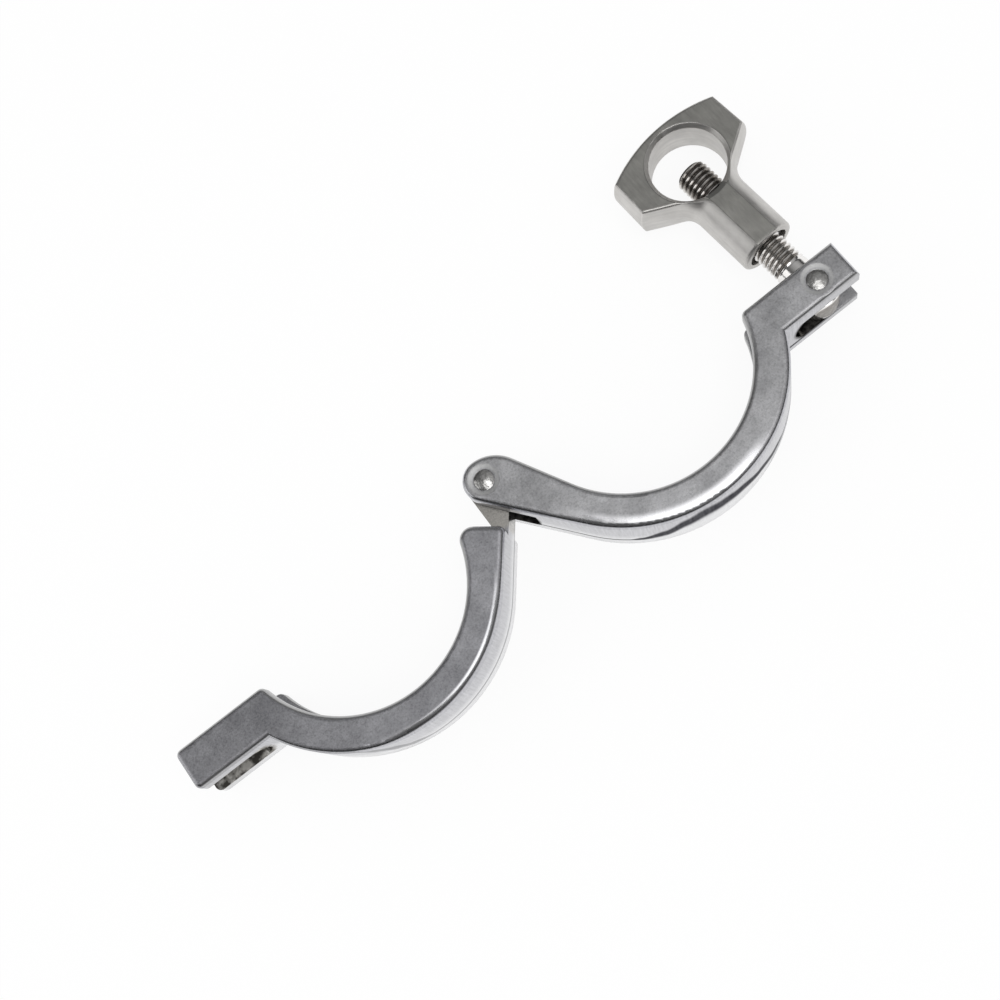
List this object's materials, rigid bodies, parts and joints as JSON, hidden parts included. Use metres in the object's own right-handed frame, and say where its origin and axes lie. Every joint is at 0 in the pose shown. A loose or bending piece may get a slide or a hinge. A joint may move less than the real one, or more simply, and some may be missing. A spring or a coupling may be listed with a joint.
{
  "type": "sanitary pipe clamp",
  "caption": "Heavy-duty hinged pipe clamp for sanitary ferrules, lying open, with cast ring halves grooved inside, a swing bolt and a wing nut with a finger hole.",
  "frame": {"origin": "centre of the bolt half's ring, at mid thickness", "axes": "+Z along the ring's axis and up as it lies open, +X from the hinge pin to the bolt lug, +Y out of the open side of both halves"},
  "size_m": [0.1887, 0.078, 0.018],
  "materials": {
    "cast_body": "cast stainless steel, satin blasted sides and a polished outer band",
    "rivet": "plain stainless steel, riveted ends",
    "bolt": "rolled stainless steel thread",
    "nut": "tumbled cast stainless steel, satin"
  },
  "bodies": {
    "bolt_half": {"bolt_half": "cast_body", "hinge_pin": "rivet", "bolt_pin": "rivet"},
    "nut_half": {"nut_half": "cast_body"},
    "swing_bolt": {"swing_bolt": "bolt"},
    "wing_nut": {"wing_nut": "nut"}
  },
  "joints": [
    {"name": "clamp_hinge", "type": "hinge", "parent": "bolt_half", "child": "nut_half", "pos_m": [-0.0395, 0, 0], "axis": [0, 0, -1], "range_deg": [-10, 179.2]},
    {"name": "bolt_swing", "type": "hinge", "parent": "bolt_half", "child": "swing_bolt", "pos_m": [0.0446, -0.0113, 0], "axis": [0, 0, -1], "range_deg": [-6, 99]},
    {"name": "nut_travel", "type": "slide", "parent": "swing_bolt", "child": "wing_nut", "axis": [-0.0767, 0.9971, 0], "range_m": [-0.0065, 0.0145]}
  ],
  "couplings": [
    {"joint": "bolt_swing", "follows": "clamp_hinge", "ratio": 0.55}
  ]
}
